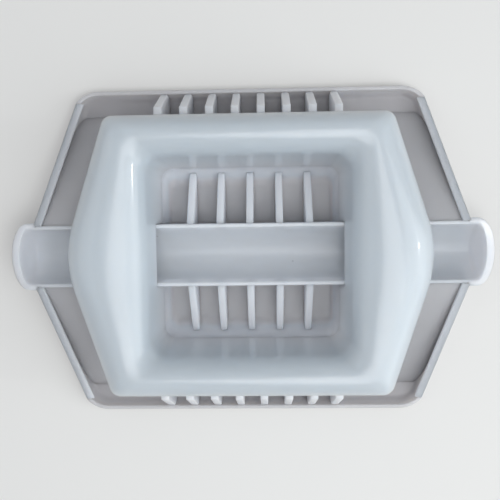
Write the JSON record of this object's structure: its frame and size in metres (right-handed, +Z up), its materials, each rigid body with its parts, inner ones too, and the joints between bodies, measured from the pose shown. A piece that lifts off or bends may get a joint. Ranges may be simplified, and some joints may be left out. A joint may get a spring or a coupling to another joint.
{
  "type": "developing tray",
  "caption": "White plastic darkroom developing tray with a raised central gutter, a pouring spout at each end and a lift-off domed hood around an open well.",
  "frame": {"origin": "on the resting plane, under the middle of the tray", "axes": "+X along the gutter from spout to spout, +Y across the tray, +Z up"},
  "size_m": [0.1956, 0.1356, 0.037],
  "materials": {
    "tray_plastic": "satin",
    "hood_plastic": "glossy"
  },
  "bodies": {
    "tray": {"tray_floor": "tray_plastic", "long_walls": "tray_plastic", "corner_walls": "tray_plastic", "end_walls_front": "tray_plastic", "end_walls_back": "tray_plastic", "end_lips": "tray_plastic", "end_decks": "tray_plastic", "gutter": "tray_plastic", "spout_left": "tray_plastic", "spout_right": "tray_plastic", "kerb_sides": "tray_plastic", "kerb_ends": "tray_plastic", "inner_ribs_front": "tray_plastic", "inner_ribs_back": "tray_plastic", "outer_ribs_front": "tray_plastic", "outer_ribs_back": "tray_plastic"},
    "hood": {"hood_front": "hood_plastic", "hood_back": "hood_plastic", "hood_left": "hood_plastic", "hood_right": "hood_plastic", "funnel_sides": "hood_plastic", "funnel_ends": "hood_plastic"}
  },
  "joints": [
    {"name": "hood_lift", "type": "slide", "parent": "tray", "child": "hood", "axis": [0, 0, 1], "range_m": [0, 0.06]}
  ]
}
